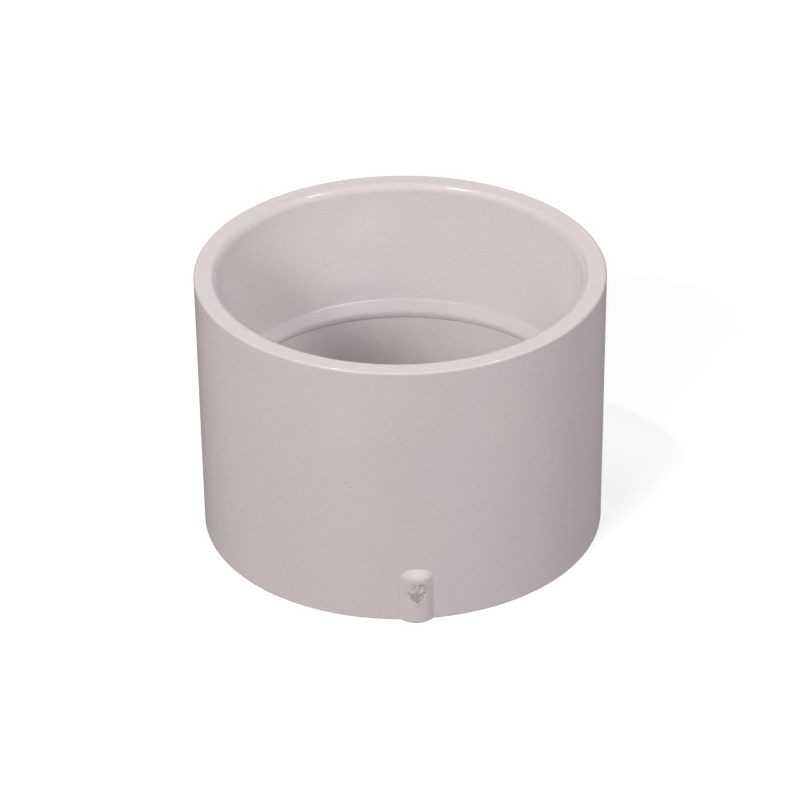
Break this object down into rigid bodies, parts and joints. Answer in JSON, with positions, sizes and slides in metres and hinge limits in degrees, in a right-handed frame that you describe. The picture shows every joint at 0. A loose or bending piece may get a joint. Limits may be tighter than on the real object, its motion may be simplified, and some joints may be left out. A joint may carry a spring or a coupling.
{
  "type": "pipe cap",
  "caption": "Short round solvent-weld cap for plastic drain pipe: open socket, a stop ring half way down, and a hub below it closed by a glued-in cup-shaped plug.",
  "frame": {"origin": "centre of the flat closed base, on the axis of the pipe socket", "axes": "+Z along the socket axis, out through the open mouth; the gate boss is on the -Y side; X runs across"},
  "size_m": [0.0556, 0.0564, 0.0381],
  "materials": {
    "body_pvc": "satin moulded PVC, warm light grey",
    "plug_pvc": "satin moulded PVC, warm light grey",
    "cured_cement": "glossy cured solvent cement, slightly milky"
  },
  "bodies": {
    "root": {"cap_body": "body_pvc", "end_plug": "plug_pvc", "cement_bond": "cured_cement"}
  },
  "joints": []
}
